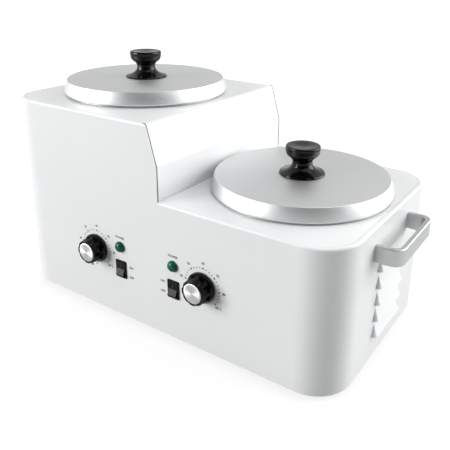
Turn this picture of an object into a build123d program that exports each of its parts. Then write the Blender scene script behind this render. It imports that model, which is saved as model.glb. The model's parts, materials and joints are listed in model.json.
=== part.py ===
from build123d import *
from math import copysign, cos, radians, sin, sqrt
from types import SimpleNamespace
import os

# Wax warmer with two heated pots. Millimetres, +Z up. While it is modelled, X = 0 and Y = 0 are the
# middle of the housing's plan and Z = 0 is the ground.
os.makedirs("parts", exist_ok=True)

# Pots, which set the housing's plan
pot_r = 83.0
pot_wall = 1.5
pot_rim_width = 13.0
pot_rim = 1.5
rim_gap = 0.2
left_pot_depth = 170.0
right_pot_depth = 106.0
pot_bottom_r = 10.0
pot_edge_r = 0.5
pot_mouth_r = 1.4
pot_rim_r = pot_r + pot_rim_width

# Housing
deck_margin = 24.0
left_margin = 11.5
right_margin = 8.5
pot_spacing = 26.0
body_length = left_margin + right_margin + pot_spacing + 4 * pot_rim_r
body_depth = 2 * (pot_rim_r + deck_margin)
left_pot_x = left_margin + pot_rim_r - body_length / 2
right_pot_x = body_length / 2 - right_margin - pot_rim_r
corner_r = 40.0
fold_r = 2.5
sheet = 1.2
foot_height = 6.3
upper_rise = 231.5
lower_rise = 152.5
slope_rise = 188.5
slope_gap = 11.5
step_gap = 2.5
slope_top_x = left_pot_x + pot_rim_r + slope_gap
step_x = right_pot_x - pot_rim_r - step_gap
slope_bend_r = 4.0
kink_bend_r = 9.0
deck_fold_r = 1.6
joint_drop = 10.0

# Cover, laid flush in the shell's folded edge
lip = 4.0
seam = 0.3
ledge = 6.0
tab_width = 16.0
tab_reach = 11.0
tab_end_gap = 29.0
tab_step_gap = 24.0
tab_x = (
    tab_end_gap - body_length / 2, slope_top_x - tab_step_gap,
    step_x + tab_step_gap, body_length / 2 - tab_end_gap,
)
stud_r = 2.0
stud_length = 9.0
fit = 0.1

# Base
flange_width = 14.0
base_screw_end_gap = 65.0
base_screw_count = 4
foot_x = body_length / 2 - 39.0
foot_y = body_depth / 2 - 34.0
foot_r = 11.0
foot_screw_seat = 3.0
foot_screw_length = 9.0
foot_bore_gap = 0.6
foot_taper = 1.0
foot_edge_r = 0.5
vent_length = 64.0
vent_width = 4.0
vent_pitch = 12.0
vent_count = 5

# Wells and lids
well_gap = 2.0
well_r = pot_r + well_gap
well_floor_gap = 3.0
well_stud_count = 4
lid_overhang = 1.0
lid_bevel = 3.8
lid_edge_r = 1.2
lid_bead_r = 0.5
lid_r = pot_rim_r + lid_overhang
lid_top_r = lid_r - lid_bevel
lid_height = 15.0
lid_wall = 1.8
lid_seat = 0.3
lid_rim = 2.2
lid_ring_drop = 1.8
lid_washer_r = 8.0
lid_washer = 1.0
lid_ring_gap = 1.0
lid_ring = 1.5

# Lid knob
knob_foot_r = 24.6
knob_neck_r = 10.8
knob_head_r = 18.6
knob_height = 31.0
knob_neck_z = 12.5
knob_foot_thick = 1.9
knob_foot_edge = 0.7
knob_shoulder = (3.2, 6.2)
knob_bulge = (2.0, 10.5)
knob_crown = (1.7, 2.7)
knob_dish = 1.6
knob_screw_r = 2.5
knob_hole_depth = 14.0
screw_end_gap = 2.0

# Heating
band_height = 62.0
band_thick = 3.0
band_gap = 0.3
sleeve_thick = 4.6
band_rise = 15.0
open_angle = 42.0
clamp_gap = 6.5
ear_thick = 1.2
ear_margin = 5.5
sleeve_back = 4.0
sleeve_margin = 8.0
sleeve_top_gap = 16.0
heater_tab = (4.8, 7.0)
heater_tab_angle = 34.0
bulb_r = 3.0
bulb_length = 58.0
bulb_nose_r = 1.8
capillary_r = 1.0
capillary_z = 32.0
capillary_bend_r = 10.0
clip_foot = 4.0
clip_thick = 0.8
clip_height = 8.0
clip_rise = 43.5
cutout_r = 8.0
cutout_height = 6.0
cutout_stud_x = 12.5
cutout_stud_length = 5.0
cutout_strap_width = 9.0
cutout_blade = (0.8, 4.0, 6.0)
cutout_blade_y = 5.0

# Controls on the front
control_mid_x = -7.0
dial_spacing = 149.0
switch_spacing = 74.6
dial_rise = 75.0
rocker_rise = 59.5
lamp_rise = 86.5

# Dial knob and thermostat
dial_r = 16.5
dial_front_r = 13.3
dial_height = 16.0
dial_gap = 1.0
dial_skirt = 2.6
dial_hollow = 7.0
dial_wall = 2.2
dial_skirt_r = 1.2
dial_shoulder = (1.2, 2.4)
dial_shoulder_r = 2.0
dial_edge_r = 0.7
boss_wall = 2.4
boss_gap = 0.5
flute_count = 8
flute_r = 5.2
flute_depth = 1.1
flute_rise = 3.0
flute_toe = 1.2
cap_r = 10.8
cap_recess = 0.8
cap_proud = 0.4
cap_bevel = (1.2, 0.2)
shaft_r = 3.0
shaft_flat = 2.2
shaft_length = 12.5
shaft_round = 3.5
running = 0.05
bushing_r = 5.0
bushing_length = 5.5
bushing_nut = 14.0
bushing_nut_height = 2.4
thermostat_size = 34.0
thermostat_depth = 21.0
thermostat_corner_r = 3.0
thermostat_tab = (6.0, 7.0, 0.8)
thermostat_tab_x = 8.0
thermostat_tab_back = 4.0

# Rocker switch
bezel_width = 15.0
bezel_height = 21.0
bezel_proud = 1.8
bezel_corner_r = 1.0
bezel_chamfer = 0.7
switch_width = 13.0
switch_height = 19.2
switch_depth = 19.0
rocker_width = 10.8
rocker_side_gap = 0.25
rocker_end_r = 8.5
rocker_end_gap = 0.2
rocker_proud = 3.1
rocker_valley = 1.7
rocker_depth = 3.6
rocker_belly = 1.2
rocker_edge_r = 0.5
rocker_tilt = 11.0
pivot_r = 1.2
pivot_sink = 1.5
pivot_length = 0.7
switch_blade = (4.8, 0.8, 7.0)
switch_blade_y = 5.0

# Lamp
lamp_r = 6.2
lamp_rim = 1.4
lamp_dome = 3.6
lamp_body_r = 5.0
lamp_depth = 24.0
lamp_nut = 13.0
lamp_nut_height = 3.0
lamp_wire_x = 1.8
lamp_wire_r = 0.5
lamp_wire_length = 8.0

# Handles and louvres on the ends
handle_width = 96.0
handle_reach = 26.0
handle_bar = 5.2
handle_height = 18.0
handle_rise = 125.5
handle_corner_r = 12.0
handle_edge_r = 1.3
handle_screw_r = 1.5
handle_hole_depth = 14.0
louvre_rise = 25.8
louvre_pitch = 18.6
louvre_count = 5
louvre_length = 70.0
louvre_height = 12.5
louvre_reach = 5.5

# Mains inlet on the rear
inlet_x = 0.0
inlet_rise = 36.0
inlet_flange = (50.0, 24.0, 3.0)
inlet_body = (27.0, 19.6, 17.0)
inlet_cavity = (24.4, 16.6, 15.0)
inlet_chamfer = 4.0
inlet_corner_r = 5.0
inlet_edge = 0.6
inlet_back = 2.0
inlet_screw_spacing = 40.0
pin_section = (2.0, 4.0)
pin_spacing = 14.0
pin_offset = 2.0
pin_length = 14.0
pin_tail = 8.0
pin_point = 0.5

# Wiring on the base plate
block_size = (46.6, 20.0, 15.0)
block_base = 10.0
block_y = body_depth / 2 - 62.0
block_screw_x = 19.9
pole_count = 4
pole_pitch = 8.6
pole_width = 6.8
pole_inset = 1.0
pole_screw_r = 1.6
pole_screw_sink = 3.0
wire_hole_r = 2.4
earth_x = -46.0
earth_y = body_depth / 2 - 36.0
earth_r = 2.5
earth_length = 16.0
earth_washer_margin = 1.0
lead_r = 1.5
lead_bend_r = 4.0
lead_out = 9.0
lead_grip = 5.0
lead_aside = (22.0, 15.0)
lead_low = 12.5
lead_clear = 1.0
bridge_steps = (12.0, 18.0)
bridge_rise = 20.0
bridge_back = 24.0
thermostat_pass = 6.0
front_pass = 12.0

# Small screws and nuts
m3 = SimpleNamespace(shank=1.45, hole=1.65, head=2.8, head_height=1.8, nut=5.5, nut_height=2.4)
m4 = SimpleNamespace(shank=1.95, hole=2.2, head=3.9, head_height=2.4, nut=7.0, nut_height=3.2)
m5 = SimpleNamespace(shank=2.4, hole=2.7, head=4.6, head_height=2.8, nut=8.0, nut_height=4.0)
lid_screw = m5

# The well's studs stand just clear of its wall, with room for their nuts
nut_corner = m4.nut / 2 / cos(radians(30))
well_stud_r = well_r + sheet + nut_corner + fit
well_flange_r = well_stud_r + m4.hole + sheet
clamp_x = well_r + sheet + band_gap + band_thick + clamp_gap

# Heights from the ground
shell_bottom = foot_height
upper_deck = shell_bottom + upper_rise
lower_deck = shell_bottom + lower_rise
slope_foot = shell_bottom + slope_rise
plate_bottom = shell_bottom
plate_top = plate_bottom + sheet

# The housing's middle lies back from the part's own middle, because the knobs stand out further
# in front than the inlet does behind.
front_reach = dial_height + cap_proud
rear_reach = inlet_flange[2] + m3.head_height
housing_y = (front_reach - rear_reach) / 2

sides = (
    SimpleNamespace(name="left", hand=-1, x=left_pot_x, deck=upper_deck, pot_depth=left_pot_depth),
    SimpleNamespace(name="right", hand=1, x=right_pot_x, deck=lower_deck, pot_depth=right_pot_depth),
)
for side in sides:
    side.dial_x = control_mid_x + side.hand * dial_spacing / 2
    side.switch_x = control_mid_x + side.hand * switch_spacing / 2
    side.well_floor = side.deck - sheet - side.pot_depth - well_floor_gap


# Basic shapes

def disc(radius, low, high):
    """Upright cylinder between two heights."""
    return Pos(0, 0, low) * Cylinder(radius, high - low, align=(Align.CENTER, Align.CENTER, Align.MIN))


def ring(outer, inner, low, high):
    return disc(outer, low, high) - disc(inner, low - 1, high + 1)


def block(x, y, z):
    """Box from three pairs of limits."""
    size = [high - low for low, high in (x, y, z)]
    middle = [(high + low) / 2 for low, high in (x, y, z)]
    return Pos(*middle) * Box(*size)


def side_view(*corners):
    """Face in the XZ plane from corners (x, z) or (x, z, rounding)."""
    face = make_face(Plane.XZ * Polyline([corner[:2] for corner in corners], close=True))
    for corner in corners:
        if len(corner) == 3:
            vertex = face.vertices().sort_by_distance((corner[0], 0, corner[1]))[0]
            face = fillet(vertex, corner[2])
    return face


def turned(*corners):
    """Solid turned about Z from the corners of its half section."""
    return revolve(side_view(*corners), Axis.Z)


def screw(size, length):
    """Pan-head screw: the head stands on Z = 0 and the shank points down."""
    head = disc(size.head, 0, size.head_height)
    head = fillet(head.edges().group_by(Axis.Z)[-1], size.head_height * 0.5)
    return head + disc(size.shank, -length, 0)


def nut(across, bore, height):
    """Hexagon nut standing on Z = 0."""
    hexagon = extrude(RegularPolygon(across / 2, 6, major_radius=False), height)
    return hexagon - disc(bore, -1, height + 1)


def on_wall(turn, along, height):
    """Frame on an outer wall, +Z outwards and +Y up: turn 0 is the front, 90 the right end."""
    reach = body_length / 2 if turn in (90, -90) else body_depth / 2
    return Rot(0, 0, turn) * Pos(along, -reach, height) * Rot(90, 0, 0)


def save(node, *solids):
    """Write one node, moved from the housing's middle to the part's own."""
    moved = [Pos(0, housing_y, 0) * solid for solid in solids]
    whole = moved[0] if len(moved) == 1 else Compound(children=moved)
    export_step(whole, f"parts/{node}.step")


# Housing

def plan(inset):
    return RectangleRounded(body_length - 2 * inset, body_depth - 2 * inset, corner_r - inset)


def step_outline(inset):
    """Side view of the high part, up to the slope and the upright step."""
    outline = side_view(
        (-body_length, 0), (step_x, 0), (step_x, slope_foot, kink_bend_r),
        (slope_top_x, upper_deck, slope_bend_r), (-body_length, upper_deck),
    )
    return offset(outline, -inset, kind=Kind.INTERSECTION) if inset else outline


def housing_block(inset):
    """The housing's whole volume, drawn in from its skin by an inset."""
    def deck_block(deck):
        solid = extrude(Pos(0, 0, shell_bottom) * plan(inset), deck - inset - shell_bottom)
        return fillet(solid.edges().group_by(Axis.Z)[-1], fold_r - inset)

    high = deck_block(upper_deck) & extrude(step_outline(inset), body_depth, both=True)
    return high + deck_block(lower_deck)


def deck_space(low_inset, deck):
    """Column over one deck, inside an inset of the plan."""
    column = extrude(Pos(0, 0, deck - 2 * sheet) * plan(low_inset), 4 * sheet)
    past = body_length
    if deck == upper_deck:
        limits = (-past, slope_top_x - slope_bend_r)
    else:
        limits = (step_x, past)
    return column & block(limits, (-past, past), (deck - 2 * sheet, deck + 2 * sheet))


def step_space(side_gap, bottom):
    """Column over the slope and the step, between the front and rear walls."""
    half = body_depth / 2 - sheet - side_gap
    return block((slope_top_x - slope_bend_r, step_x), (-half, half), (bottom, upper_deck + sheet))


def deck_ledge(deck):
    """Lowered fold that carries the cover's edge."""
    low, high = deck - 2 * sheet, deck - sheet
    band = extrude(Pos(0, 0, low) * (plan(lip - sheet) - plan(lip + ledge)), high - low)
    past = body_length
    if deck == upper_deck:
        return band & block((-past, slope_top_x - slope_bend_r), (-past, past), (low, high))
    return band & block((step_x, past), (-past, past), (low, high))


def cover_stud_places():
    """Where the cover's own studs go down through the ledge's tabs: (x, y, deck)."""
    y = body_depth / 2 - lip - ledge - tab_reach / 2
    return [(x, side_y, upper_deck if x < slope_top_x else lower_deck) for x in tab_x for side_y in (-y, y)]


def well_stud_places(side):
    turns = [radians((index + 0.5) * 360 / well_stud_count) for index in range(well_stud_count)]
    return [(side.x + well_stud_r * cos(turn), well_stud_r * sin(turn)) for turn in turns]


def foot_places():
    return [(x, y) for x in (-foot_x, foot_x) for y in (-foot_y, foot_y)]


def base_screw_places():
    y = body_depth / 2 - flange_width / 2
    first = base_screw_end_gap - body_length / 2
    pitch = -2 * first / (base_screw_count - 1)
    return [(first + index * pitch, side_y) for index in range(base_screw_count) for side_y in (-y, y)]


def louvre(reach):
    """Hooded slot with half-cone ends, open below, on a wall's frame."""
    height = louvre_height * reach / louvre_reach
    straight = louvre_length / 2 - louvre_reach
    section = make_face(Plane.YZ * Polyline(
        (0, -2 * sheet), (0, reach), (height, 0), (height, -2 * sheet), close=True,
    ))
    hood = extrude(section, straight, both=True)
    for x in (-straight, straight):
        cone = Cone(reach, 0, height, align=(Align.CENTER, Align.CENTER, Align.MIN))
        hood += Pos(x, 0, 0) * Rot(-90, 0, 0) * cone
    return hood


def louvre_frames():
    for turn in (90, -90):
        for row in range(louvre_count):
            yield on_wall(turn, 0, shell_bottom + louvre_rise + row * louvre_pitch)


def handle_screw_frames():
    along = handle_width / 2 - handle_bar / 2
    for turn in (90, -90):
        for place in (-along, along):
            yield on_wall(turn, place, shell_bottom + handle_rise)


def dial_frame(side):
    return on_wall(0, side.dial_x, shell_bottom + dial_rise)


def switch_frame(side):
    return on_wall(0, side.switch_x, shell_bottom + rocker_rise)


def lamp_frame(side):
    return on_wall(0, side.switch_x, shell_bottom + lamp_rise)


inlet_frame = on_wall(180, -inlet_x, shell_bottom + inlet_rise)


def wall_hole(radius, frame):
    return frame * disc(radius, -3 * sheet, sheet)


def housing_shell():
    shell = housing_block(0) - housing_block(sheet)
    shell -= deck_space(lip, upper_deck) + deck_space(lip, lower_deck) + step_space(0, lower_deck - sheet)
    shell += deck_ledge(upper_deck) + deck_ledge(lower_deck)
    for x, y, deck in cover_stud_places():
        inner = y - copysign(tab_reach / 2, y)
        outer = y + copysign(tab_reach / 2 + 1, y)
        across = (x - tab_width / 2, x + tab_width / 2)
        tab = block(across, sorted((inner, outer)), (deck - 2 * sheet, deck - sheet))
        shell += tab - Pos(x, y, deck) * disc(m4.hole, -4 * sheet, 0)

    flange = extrude(Pos(0, 0, plate_top) * (plan(sheet / 2) - plan(flange_width)), sheet)
    for x, y in base_screw_places():
        flange -= Pos(x, y, plate_top) * disc(m3.shank + running, -1, 2 * sheet)
    shell += flange

    outside = block((-body_depth, body_depth), (-1, louvre_pitch), (-sheet / 2, 2 * louvre_reach))
    for frame in louvre_frames():
        shell += frame * (louvre(louvre_reach) & outside)
        shell -= frame * louvre(louvre_reach - sheet)

    for side in sides:
        shell -= wall_hole(bushing_r + fit, dial_frame(side))
        shell -= wall_hole(lamp_body_r + fit, lamp_frame(side))
        shell -= switch_frame(side) * Box(switch_width + 2 * fit, switch_height + 2 * fit, 6 * sheet)
    shell -= inlet_frame * Box(inlet_body[0] + 2 * fit, inlet_body[1] + 2 * fit, 6 * sheet)
    for x in (-inlet_screw_spacing / 2, inlet_screw_spacing / 2):
        shell -= wall_hole(m3.hole, inlet_frame * Pos(x, 0, 0))
    for frame in handle_screw_frames():
        shell -= wall_hole(m3.hole, frame)
    return shell


def with_studs(cover, side, places):
    """Cut the well's opening in a cover and add the welded studs below it."""
    cover -= Pos(side.x, 0, side.deck) * disc(well_r, -3 * sheet, 3 * sheet)
    for x, y in well_stud_places(side) + places:
        cover += Pos(x, y, side.deck - sheet) * disc(stud_r, -stud_length, 0)
    return cover


def high_cover():
    """Bent strip of high deck, slope and upright step."""
    outline = step_outline(0)
    strip = extrude(outline - offset(outline, -sheet, kind=Kind.INTERSECTION), body_depth, both=True)
    room = deck_space(lip + seam, upper_deck) + step_space(seam, lower_deck - joint_drop)
    places = [(x, y) for x, y, deck in cover_stud_places() if deck == upper_deck]
    return with_studs(strip & room, sides[0], places)


def low_deck():
    """Low deck, folded down where it meets the step."""
    low = lower_deck - joint_drop
    inside = step_x + sheet
    section = side_view(
        (step_x, low), (step_x, lower_deck, deck_fold_r), (body_length, lower_deck),
        (body_length, lower_deck - sheet), (inside, lower_deck - sheet), (inside, low),
    )
    half = body_depth / 2 - lip - ledge - seam
    flange = block((0, inside), (-half, half), (low, lower_deck))
    above = block((0, body_length), (-body_depth, body_depth), (lower_deck - sheet, lower_deck + sheet))
    room = (deck_space(lip + seam, lower_deck) & above) + flange
    deck = extrude(section, body_depth, both=True) & room
    places = [(x, y) for x, y, deck_z in cover_stud_places() if deck_z == lower_deck]
    return with_studs(deck, sides[1], places)


def stud_nuts():
    """Nuts under the ledge tabs and under the well flanges."""
    places = cover_stud_places()
    for side in sides:
        places += [(x, y, side.deck) for x, y in well_stud_places(side)]
    shape = nut(m4.nut, stud_r + running, m4.nut_height)
    return [Pos(x, y, deck - 2 * sheet - m4.nut_height) * shape for x, y, deck in places]


def base_plate():
    plate = extrude(Pos(0, 0, plate_bottom) * plan(sheet + seam), sheet)
    for x, y in base_screw_places():
        plate -= Pos(x, y, plate_bottom) * disc(m3.hole, -1, 2 * sheet)
    for x, y in foot_places():
        plate -= Pos(x, y, plate_bottom) * disc(m4.hole, -1, 2 * sheet)
    vent = extrude(SlotOverall(vent_length, vent_width, rotation=90), 4 * sheet, both=True)
    for side in sides:
        for row in range(vent_count):
            x = side.x + (row - (vent_count - 1) / 2) * vent_pitch
            plate -= Pos(x, 0, plate_bottom) * vent
    plate -= Pos(earth_x, earth_y, plate_bottom) * disc(earth_r + fit, -1, 2 * sheet)
    for x in (-block_screw_x, block_screw_x):
        plate -= Pos(x, block_y, plate_bottom) * disc(m3.shank + running, -1, 2 * sheet)
    return plate


def base_screws():
    return [Pos(x, y, plate_bottom) * Rot(180, 0, 0) * screw(m3, 4 * sheet) for x, y in base_screw_places()]


def foot():
    """Rubber foot with a sunk screw seat, standing on Z = 0."""
    bore = m4.head + foot_bore_gap
    return turned(
        (m4.hole, foot_screw_seat), (bore, foot_screw_seat), (bore, 0), (foot_r - foot_taper, 0, foot_edge_r),
        (foot_r, foot_height), (m4.hole, foot_height),
    )


def feet():
    return [Pos(x, y, 0) * foot() for x, y in foot_places()]


def foot_screws():
    shape = Pos(0, 0, foot_screw_seat) * Rot(180, 0, 0) * screw(m4, foot_screw_length)
    return [Pos(x, y, 0) * shape for x, y in foot_places()]


def foot_nuts():
    shape = nut(m4.nut, m4.shank + running, m4.nut_height)
    return [Pos(x, y, plate_top) * shape for x, y in foot_places()]


# Wells, pots and lids

def well(side):
    """Round tub hung under the cover, with studs for the cut-out below its floor."""
    floor, top = side.well_floor, side.deck - sheet
    bottom_r = pot_bottom_r + well_gap
    tub = turned(
        (0, floor - sheet), (well_r + sheet, floor - sheet, bottom_r + sheet), (well_r + sheet, top - sheet),
        (well_flange_r, top - sheet), (well_flange_r, top), (well_r, top), (well_r, floor, bottom_r),
        (0, floor),
    )
    tub = Pos(side.x, 0, 0) * tub
    for x, y in well_stud_places(side):
        tub -= Pos(x, y, top) * disc(m4.hole, -2 * sheet, sheet)
    for x in (-cutout_stud_x, cutout_stud_x):
        tub += Pos(side.x + x, 0, floor - sheet) * disc(m3.shank, -cutout_stud_length, 0)
    return tub


def pot(side):
    """Deep round pot that hangs by its flat rim on the deck."""
    rim = side.deck + rim_gap
    floor = rim - side.pot_depth
    inner_r = pot_r - pot_wall
    return Pos(side.x, 0, 0) * turned(
        (0, floor), (pot_r, floor, pot_bottom_r), (pot_r, rim, pot_edge_r), (pot_rim_r, rim, pot_edge_r),
        (pot_rim_r, rim + pot_rim, pot_edge_r), (inner_r, rim + pot_rim, pot_mouth_r),
        (inner_r, floor + pot_wall, pot_bottom_r - pot_wall), (0, floor + pot_wall),
    )


def lid(side):
    """Shallow dish with a bevelled rim and a ring below that centres it in the pot."""
    seat = side.deck + rim_gap + pot_rim + lid_seat
    top = seat + lid_height
    under = top - lid_wall
    ring_r = pot_r - pot_wall - lid_ring_gap
    ring_foot = seat - lid_ring_drop
    rim_in = lid_r - 2 * lid_wall
    dish = turned(
        (lid_screw.hole, under), (ring_r - lid_ring, under, lid_bead_r), (ring_r - lid_ring, ring_foot),
        (ring_r, ring_foot), (ring_r, under, lid_bead_r), (lid_top_r - lid_wall, under, lid_edge_r),
        (rim_in, seat + lid_rim), (rim_in, seat), (lid_r, seat, lid_bead_r),
        (lid_r, seat + lid_rim, lid_edge_r), (lid_top_r, top, lid_edge_r), (lid_screw.hole, top),
    )
    return Pos(side.x, 0, 0) * dish


def lid_top(side):
    return side.deck + rim_gap + pot_rim + lid_seat + lid_height


def lid_knob(side):
    """Mushroom knob: wide thin foot, waisted neck and a head with a dished top."""
    foot_end = (knob_foot_r - knob_foot_edge, knob_foot_thick)
    shoulder = (knob_neck_r + knob_shoulder[0], knob_shoulder[1])
    neck = (knob_neck_r, knob_neck_z)
    bulge = (knob_head_r - knob_bulge[0], knob_height - knob_bulge[1])
    widest = (knob_head_r, knob_height - knob_crown[1])
    crown = (knob_head_r - knob_crown[0], knob_height)
    dish = (0, knob_height - knob_dish)
    section = Plane.XZ * make_face(
        Polyline((0, 0), (knob_foot_r - knob_foot_edge, 0), (knob_foot_r, knob_foot_edge), foot_end)
        + Spline(foot_end, shoulder, neck, tangents=[(-1, 0.22), (-0.05, 1)])
        + Spline(neck, bulge, widest, tangents=[(0.05, 1), (0, 1)])
        + Spline(widest, crown, tangents=[(0, 1), (-1, 0)])
        + Spline(crown, dish, tangents=[(-1, 0), (-1, 0)])
        + Line(dish, (0, 0))
    )
    knob = revolve(section, Axis.Z)
    knob -= disc(knob_screw_r, -1, knob_hole_depth)
    return Pos(side.x, 0, lid_top(side)) * knob


def lid_screw_set(side):
    """Screw and washer that hold the knob from inside the lid."""
    under = lid_top(side) - lid_wall
    washer = Pos(side.x, 0, 0) * ring(lid_washer_r, lid_screw.hole, under - lid_washer, under)
    length = lid_wall + lid_washer + knob_hole_depth - screw_end_gap
    fastener = Pos(side.x, 0, under - lid_washer) * Rot(180, 0, 0) * screw(lid_screw, length)
    return washer, fastener


# Heating

def inner_side(side):
    """Frame on a well's axis with +X towards the middle of the housing."""
    return Pos(side.x, 0, 0) * Rot(0, 0, 90 + 90 * side.hand)


def wedge(half_angle, low, high):
    """Column over the open sector that faces the middle of the housing."""
    far = 2 * pot_rim_r
    spread = far * sin(radians(half_angle)) / cos(radians(half_angle))
    sector = make_face(Polyline((0, 0), (far, -spread), (far, spread), close=True))
    return extrude(Pos(0, 0, low) * sector, high - low)


def heater_band(side):
    """Open band round the well, its ends bent out as ears for the clamp screw."""
    low = side.well_floor + band_rise
    high = low + band_height
    inner = well_r + sheet + band_gap
    band = ring(inner + band_thick, inner, low, high) - wedge(open_angle / 2, low - 1, high + 1)
    ear_y = (inner + band_thick) * sin(radians(open_angle / 2))
    ear_x = inner * cos(radians(open_angle / 2))
    middle = (low + high) / 2
    for hand in (-1, 1):
        near, far = sorted((hand * ear_y, hand * (ear_y - ear_thick)))
        ear = block((ear_x, clamp_x + ear_margin), (near, far), (middle - ear_margin, middle + ear_margin))
        hole = Pos(clamp_x, 0, middle) * Rot(90, 0, 0) * Cylinder(m3.hole, 4 * ear_y)
        band += ear - hole
        band += Rot(0, 0, hand * heater_tab_angle) * heater_tab_block(low)
    return inner_side(side) * band


def heater_tab_block(band_bottom):
    """Terminal tab below the band's edge, at angle 0."""
    width, length = heater_tab
    inner = well_r + sheet + band_gap + (band_thick - sheet) / 2
    return block((inner, inner + sheet), (-width / 2, width / 2), (band_bottom - length, band_bottom))


def clamp_screws():
    solids = []
    for side in sides:
        ear_y = (well_r + sheet + band_gap + band_thick) * sin(radians(open_angle / 2))
        middle = side.well_floor + band_rise + band_height / 2
        place = inner_side(side) * Pos(clamp_x, -ear_y, middle) * Rot(90, 0, 0)
        fastener = nut(m3.nut, m3.shank + running, m3.nut_height)
        solids.append(place * screw(m3, 2 * ear_y + 2 * m3.nut_height))
        solids.append(place * Pos(0, 0, -2 * ear_y - m3.nut_height) * fastener)
    return solids


def sleeve(side):
    """Felted glass-fibre sleeve round the band, open where the sensing bulb sits."""
    inner = well_r + sheet + 2 * band_gap + band_thick
    low, high = side.well_floor + sleeve_margin, side.deck - sleeve_top_gap
    shape = ring(inner + sleeve_thick, inner, low, high)
    return inner_side(side) * (shape - wedge(open_angle / 2 + sleeve_back, low - 1, high + 1))


def bulb_x():
    return well_r + sheet + band_gap + bulb_r


def sensing_bulb(side):
    """Bulb on the well with its capillary, which runs under the well to the thermostat."""
    low = side.well_floor + band_rise
    bulb = inner_side(side) * Pos(bulb_x(), 0, 0) * disc(bulb_r, low, low + bulb_length)
    bulb = fillet(bulb.edges().group_by(Axis.Z)[-1], bulb_nose_r)
    start_x = side.x - side.hand * bulb_x()
    body_y = -body_depth / 2 + sheet + thermostat_depth / 2
    body_z = shell_bottom + dial_rise - thermostat_size / 2
    path = FilletPolyline(
        (start_x, 0, low), (start_x, 0, capillary_z), (side.dial_x, body_y, capillary_z),
        (side.dial_x, body_y, body_z), radius=capillary_bend_r,
    )
    start = Plane(origin=(start_x, 0, low), z_dir=(0, 0, -1))
    return bulb + sweep(start * Circle(capillary_r), path)


def bulb_clips():
    """Sprung straps that hold the bulbs against the wells."""
    inner, outer = bulb_r + fit, bulb_r + fit + clip_thick
    back = -(band_gap + bulb_r)
    hoop = ring(outer, inner, -clip_height / 2, clip_height / 2)
    hoop &= block((0, outer), (-outer, outer), (-clip_height / 2, clip_height / 2))
    for hand in (-1, 1):
        leg = sorted((hand * inner, hand * outer))
        foot_y = sorted((hand * inner, hand * (outer + clip_foot)))
        hoop += block((back, 0), leg, (-clip_height / 2, clip_height / 2))
        hoop += block((back, back + clip_thick), foot_y, (-clip_height / 2, clip_height / 2))
    clips = []
    for side in sides:
        middle = side.well_floor + band_rise + clip_rise
        clips.append(inner_side(side) * Pos(bulb_x(), 0, middle) * hoop)
    return clips


def cutout(side):
    """Snap-action thermal cut-out on its strap, flat against the well's floor."""
    top = side.well_floor - sheet
    strap = SlotOverall(2 * cutout_stud_x + cutout_strap_width, cutout_strap_width)
    body = extrude(Pos(0, 0, -sheet) * strap, sheet) + disc(cutout_r, -cutout_height, 0)
    for x in (-cutout_stud_x, cutout_stud_x):
        body -= Pos(x, 0, 0) * disc(m3.hole, -2 * sheet, 1)
    thick, width, length = cutout_blade
    for y in (-cutout_blade_y, cutout_blade_y):
        body += Pos(0, y, -cutout_height - length / 2) * Box(thick, width, length)
    return Pos(side.x, 0, top) * body


def heater_tab_place(side, hand):
    """Middle of a band's terminal tab in plan."""
    radius = well_r + sheet + band_gap + band_thick / 2
    turn = radians(heater_tab_angle)
    return side.x - side.hand * radius * cos(turn), hand * radius * sin(turn)


def m3_nuts():
    """Nuts on the cut-outs' studs and on the inlet's screws."""
    shape = nut(m3.nut, m3.shank + running, m3.nut_height)
    nuts = [
        Pos(side.x + x, 0, side.well_floor - 2 * sheet - m3.nut_height) * shape
        for side in sides for x in (-cutout_stud_x, cutout_stud_x)
    ]
    for x in (-inlet_screw_spacing / 2, inlet_screw_spacing / 2):
        nuts.append(inlet_frame * Pos(x, 0, -sheet - m3.nut_height) * shape)
    return nuts


# Dial knobs and thermostats

def dial_knob():
    """Fluted knob on a skirt, hollow behind to clear the bushing nut, with a D-shaped bore."""
    front = dial_height
    skirt_top = dial_gap + dial_skirt
    knob = turned(
        (0, dial_gap), (dial_r, dial_gap), (dial_r, skirt_top, dial_skirt_r),
        (dial_front_r + dial_shoulder[0], skirt_top + dial_shoulder[1], dial_shoulder_r),
        (dial_front_r, front, dial_edge_r), (0, front),
    )
    for index in range(flute_count):
        turn = Rot(0, 0, (index + 0.5) * 360 / flute_count)
        flute = turn * Pos(dial_front_r + flute_r - flute_depth, 0, skirt_top + flute_rise)
        knob -= flute * (disc(flute_r, 0, front) + Sphere(flute_r) & disc(flute_r, -flute_toe, front))
    knob -= disc(cap_r + fit, front - cap_recess, front + 1)
    knob -= disc(dial_front_r - dial_wall, 0, dial_gap + dial_hollow)
    boss = disc(shaft_r + boss_wall, bushing_length + boss_gap, dial_gap + dial_hollow + boss_gap)
    return knob + boss - d_shaft(running, dial_gap, shaft_length + running)


def d_shaft(gap, low, high):
    """Round shaft with one flat, grown by a gap."""
    flat = block((-2 * shaft_r, 2 * shaft_r), (shaft_flat + gap, 2 * shaft_r), (low - 1, high + 1))
    return disc(shaft_r + gap, low, high) - flat


def dial_cap():
    """Thin spun metal disc let into the knob's face."""
    front = dial_height
    return turned(
        (0, front - cap_recess), (cap_r, front - cap_recess), (cap_r, front + cap_proud - cap_bevel[1]),
        (cap_r - cap_bevel[0], front + cap_proud), (0, front + cap_proud),
    )


def thermostat_shaft():
    return d_shaft(0, shaft_round, shaft_length) + disc(shaft_r, -thermostat_depth / 2, shaft_round)


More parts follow.
